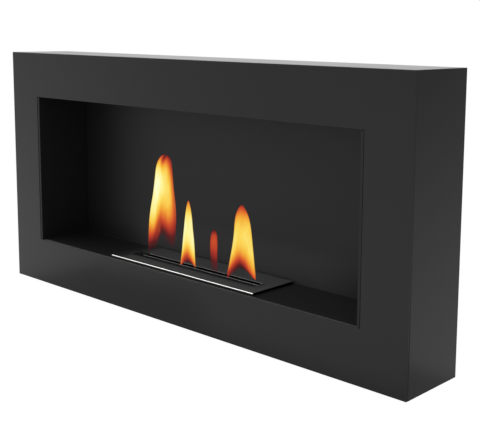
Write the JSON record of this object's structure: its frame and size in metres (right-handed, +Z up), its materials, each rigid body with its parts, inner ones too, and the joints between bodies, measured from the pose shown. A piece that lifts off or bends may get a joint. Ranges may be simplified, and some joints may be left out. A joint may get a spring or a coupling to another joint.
{
  "type": "wall bioethanol fireplace",
  "caption": "Wall-hung bioethanol fireplace: slim black sheet-steel housing with a letterbox opening, a lift-out slot burner with sliding damper, and a wall rail.",
  "frame": {"origin": "on the wall plane, midway between the wall rail's two round screw holes", "axes": "+X to the viewer's right when facing the front, +Y into the wall, +Z up; the front faces -Y"},
  "size_m": [0.9, 0.12, 0.427],
  "materials": {
    "rail_steel": "zinc-plated, black-passivated steel strip, satin",
    "housing_black": "black powder coating, fine-textured satin",
    "firebox_black": "heat-resistant black coating, matt",
    "rear_sheet": "black coated sheet, matt",
    "zinc_steel": "zinc-plated steel, dull",
    "stainless": "brushed stainless steel",
    "stainless_bright": "bright stainless steel",
    "burner_black": "black heat-resistant coating, satin",
    "knob_steel": "stainless steel, darkened by heat",
    "rubber_black": "matt black rubber",
    "ceramic_fibre": "white ceramic fibre, fluffy"
  },
  "bodies": {
    "wall_rail": {"wall_rail": "rail_steel"},
    "housing": {"front_frame": "housing_black", "side_panel_left": "housing_black", "side_panel_right": "housing_black", "top_panel": "housing_black", "bottom_panel": "housing_black", "rear_cover": "rear_sheet", "cover_angle_left": "zinc_steel", "cover_angle_right": "zinc_steel", "cover_angle_top": "zinc_steel", "cover_angle_bottom": "zinc_steel", "cover_screws": "zinc_steel", "hanger_left": "zinc_steel", "hanger_right": "zinc_steel", "hanger_rivets": "zinc_steel", "wall_buffers": "rubber_black", "firebox_back_wall": "firebox_black", "firebox_side_left": "firebox_black", "firebox_side_right": "firebox_black", "firebox_ceiling": "firebox_black", "firebox_floor": "firebox_black", "firebox_angle_left": "zinc_steel", "firebox_angle_right": "zinc_steel", "floor_support_left": "zinc_steel", "floor_support_right": "zinc_steel", "ceiling_insulation": "ceramic_fibre", "rear_insulation": "ceramic_fibre"},
    "burner": {"burner_tank": "stainless", "tank_end_left": "stainless", "tank_end_right": "stainless", "tank_top_plate": "stainless", "absorbent_pad": "ceramic_fibre", "pad_retainer": "stainless", "burner_cover_plate": "burner_black", "slot_collar": "stainless", "burner_front_trim": "stainless_bright", "damper_guide_left": "stainless", "damper_guide_right": "stainless"},
    "damper": {"damper_plate": "stainless", "damper_knob": "knob_steel"}
  },
  "joints": [
    {"name": "housing_lift_off", "type": "slide", "parent": "wall_rail", "child": "housing", "axis": [0, 0, 1], "range_m": [0, 0.014]},
    {"name": "burner_lift_out", "type": "slide", "parent": "housing", "child": "burner", "axis": [0, 0, 1], "range_m": [0, 0.06]},
    {"name": "damper_slide", "type": "slide", "parent": "burner", "child": "damper", "axis": [0, -1, 0], "range_m": [0, 0.013]}
  ]
}
